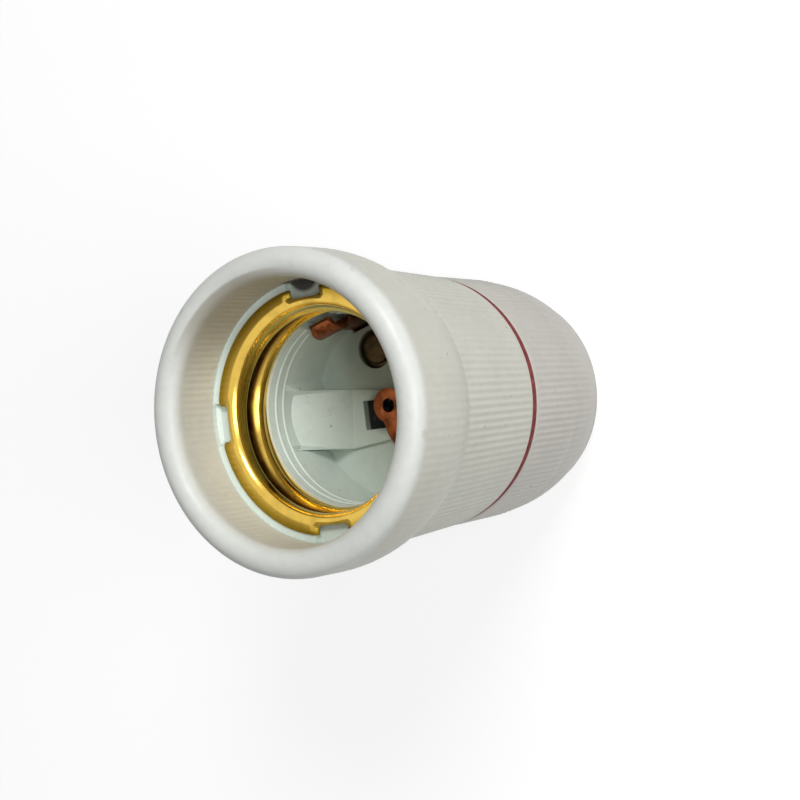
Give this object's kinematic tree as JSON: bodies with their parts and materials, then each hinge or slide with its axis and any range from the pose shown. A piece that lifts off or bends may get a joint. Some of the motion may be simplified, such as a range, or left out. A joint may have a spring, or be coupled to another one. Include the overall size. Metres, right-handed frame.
{
  "type": "lamp holder",
  "caption": "Porcelain screw lamp holder with a flared skirt, ribbed body and cap, brass thread shell, copper contacts and a threaded cable entry.",
  "frame": {"origin": "centre of the rear cap's flat end face, on the holder's axis; the holder stands on that face", "axes": "+Z along the holder's axis from the rear cap to the mouth; -X towards the bar on the floor of the well, along one pair of lip notches"},
  "size_m": [0.04, 0.04, 0.0565],
  "materials": {
    "porcelain": "glazed white porcelain, fine specks",
    "shell_brass": "bright rolled brass sheet",
    "gasket_fibre": "red vulcanised fibre",
    "entry_steel": "zinc plated",
    "contact_copper": "tarnished copper alloy strip",
    "rivet_brass": "plain brass",
    "terminal_brass": "plain brass",
    "screw_steel": "zinc plated"
  },
  "bodies": {
    "cap": {"rear_cap": "porcelain", "entry_bush": "entry_steel", "lock_washer": "entry_steel", "entry_locknut": "entry_steel"},
    "gasket": {"gasket_ring": "gasket_fibre"},
    "front": {"front_body": "porcelain", "screw_shell": "shell_brass", "centre_rivet": "rivet_brass", "side_rivet": "rivet_brass", "side_rivet_washer": "rivet_brass", "centre_terminal_plate": "terminal_brass", "side_terminal_plate": "terminal_brass"},
    "centre_spring": {"centre_contact": "contact_copper"},
    "side_spring": {"side_contact": "contact_copper"},
    "centre_clamp": {"centre_clamp_plate": "screw_steel"},
    "centre_screw": {"centre_terminal_screw": "screw_steel"},
    "side_clamp": {"side_clamp_plate": "screw_steel"},
    "side_screw": {"side_terminal_screw": "screw_steel"}
  },
  "joints": [
    {"name": "gasket_lift", "type": "slide", "parent": "cap", "child": "gasket", "axis": [0, 0, 1], "range_m": [0, 0.007]},
    {"name": "front_turn", "type": "hinge", "parent": "gasket", "child": "front", "pos_m": [0, 0, 0.0237], "axis": [0, 0, 1], "range_deg": [0, 630]},
    {"name": "centre_contact_flex", "type": "hinge", "parent": "front", "child": "centre_spring", "pos_m": [0.00207, -0.00773, 0.0309], "axis": [-0.9659, -0.2588, 0], "range_deg": [0, 3], "stiffness_Nm_per_rad": 0.2, "springref_deg": -2.86},
    {"name": "side_contact_flex", "type": "hinge", "parent": "front", "child": "side_spring", "pos_m": [-0.00304, 0.01135, 0.0259], "axis": [-0.9659, -0.2588, 0], "range_deg": [0, 1.6], "stiffness_Nm_per_rad": 0.2, "springref_deg": -2.86},
    {"name": "centre_clamp_lift", "type": "slide", "parent": "front", "child": "centre_clamp", "axis": [0, 0, -1], "range_m": [0, 0.0021]},
    {"name": "centre_screw_turn", "type": "hinge", "parent": "centre_clamp", "child": "centre_screw", "pos_m": [0.00641, -0.0037, 0.025], "axis": [0, 0, -1], "range_deg": [0, 1260]},
    {"name": "side_clamp_lift", "type": "slide", "parent": "front", "child": "side_clamp", "axis": [0, 0, -1], "range_m": [0, 0.0021]},
    {"name": "side_screw_turn", "type": "hinge", "parent": "side_clamp", "child": "side_screw", "pos_m": [-0.00641, 0.0037, 0.025], "axis": [0, 0, -1], "range_deg": [0, 1260]}
  ],
  "couplings": [
    {"joint": "gasket_lift", "follows": "front_turn", "m_per_rad": 0.00063662},
    {"joint": "centre_screw_turn", "follows": "centre_clamp_lift", "rad_per_m": 10472},
    {"joint": "side_screw_turn", "follows": "side_clamp_lift", "rad_per_m": 10472}
  ]
}
